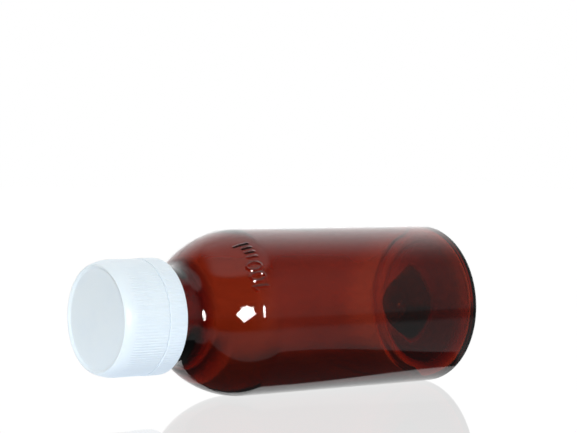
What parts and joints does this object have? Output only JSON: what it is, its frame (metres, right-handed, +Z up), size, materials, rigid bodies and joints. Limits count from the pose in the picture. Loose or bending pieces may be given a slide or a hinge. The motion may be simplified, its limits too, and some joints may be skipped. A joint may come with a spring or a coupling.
{
  "type": "medicine bottle",
  "caption": "Round amber plastic medicine bottle with a ribbed white screw cap, a tamper band that stays on the neck, and a foam liner.",
  "frame": {"origin": "on the floor under the middle of the bottle's length, the bottle lying on its side", "axes": "+X along the bottle's axis from the cap to the base, +Z up, the cap at -X"},
  "size_m": [0.1102, 0.044, 0.044],
  "materials": {
    "amber_plastic": "clear amber PET, glossy, blow-moulded",
    "cap_plastic": "white moulded polypropylene, satin gloss, finely ribbed",
    "band_plastic": "white moulded polypropylene, satin gloss, finely ribbed",
    "liner_foam": "white foamed polyethylene, matt"
  },
  "bodies": {
    "bottle": {"bottle": "amber_plastic"},
    "lift": {"liner": "liner_foam"},
    "cap": {"screw_cap": "cap_plastic"},
    "band": {"tamper_band": "band_plastic", "bridges": "band_plastic"}
  },
  "joints": [
    {"name": "cap_rise", "type": "slide", "parent": "bottle", "child": "lift", "axis": [-1, 0, 0], "range_m": [0, 0.0176]},
    {"name": "cap_turn", "type": "hinge", "parent": "lift", "child": "cap", "pos_m": [-0.04485, 0, 0.022], "axis": [-1, 0, 0], "range_deg": [0, 1980]},
    {"name": "band_turn", "type": "hinge", "parent": "bottle", "child": "band", "pos_m": [-0.03985, 0, 0.022], "axis": [-1, 0, 0], "continuous": true}
  ],
  "couplings": [
    {"joint": "cap_rise", "follows": "cap_turn", "m_per_rad": 0.00050611}
  ]
}
